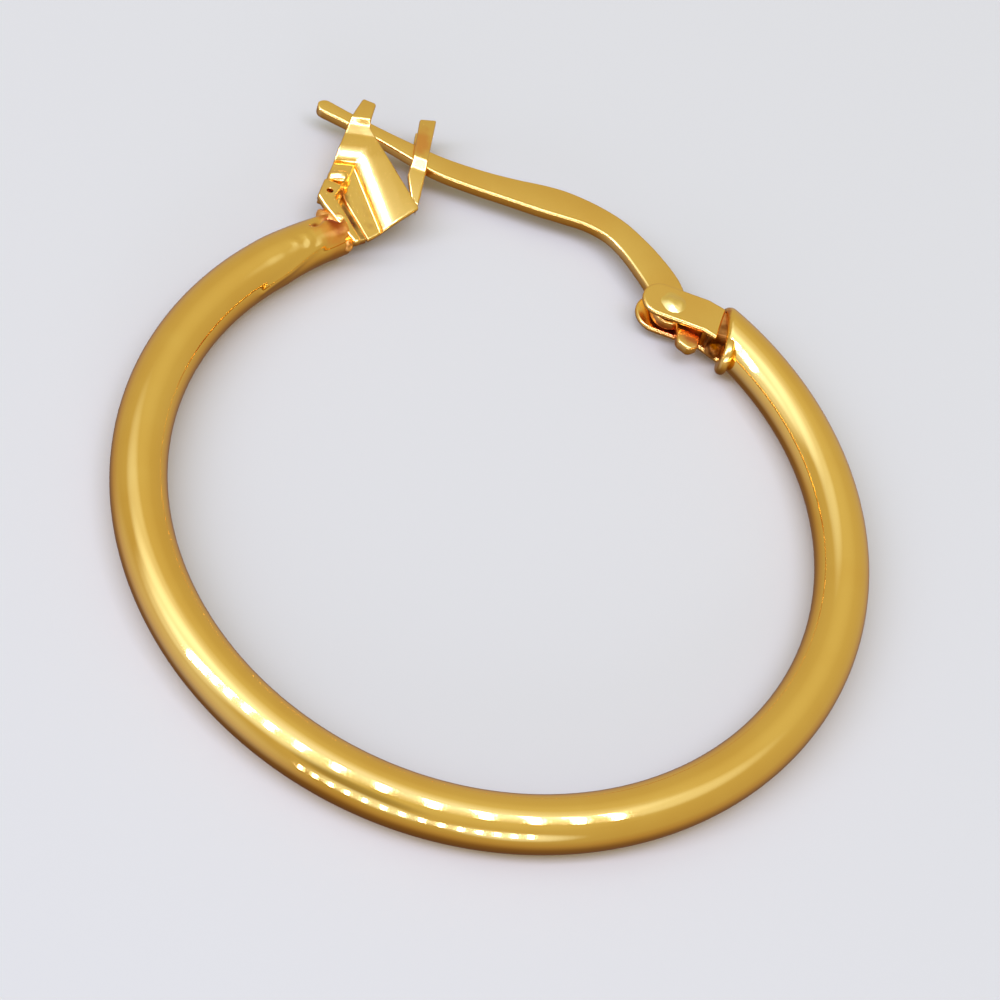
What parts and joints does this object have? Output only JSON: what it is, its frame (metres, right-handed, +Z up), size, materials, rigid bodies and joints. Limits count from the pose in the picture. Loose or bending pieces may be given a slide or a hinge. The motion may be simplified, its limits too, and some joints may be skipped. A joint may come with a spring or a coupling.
{
  "type": "hinged hoop earring",
  "caption": "Round tube hoop earring with a curved flat ear post that swings on a rivet in a small fork and drops into a folded sheet catch.",
  "frame": {"origin": "middle of the part's footprint, on the plane it lies on", "axes": "+Z up through the flat of the hoop, +Y towards the ear opening and its catch, +X towards the hinge side"},
  "size_m": [0.025, 0.0287, 0.0018],
  "materials": {
    "polished_gold": "mirror-polished yellow gold",
    "finding_gold": "polished yellow gold, slightly softer"
  },
  "bodies": {
    "hoop": {"hoop_body": "polished_gold", "hinge_rivet": "finding_gold"},
    "post": {"ear_post": "finding_gold"}
  },
  "joints": [
    {"name": "post_hinge", "type": "hinge", "parent": "hoop", "child": "post", "pos_m": [0.00606, 0.00705, 0.0009], "axis": [0, 0, -1], "range_deg": [0, 78]}
  ]
}
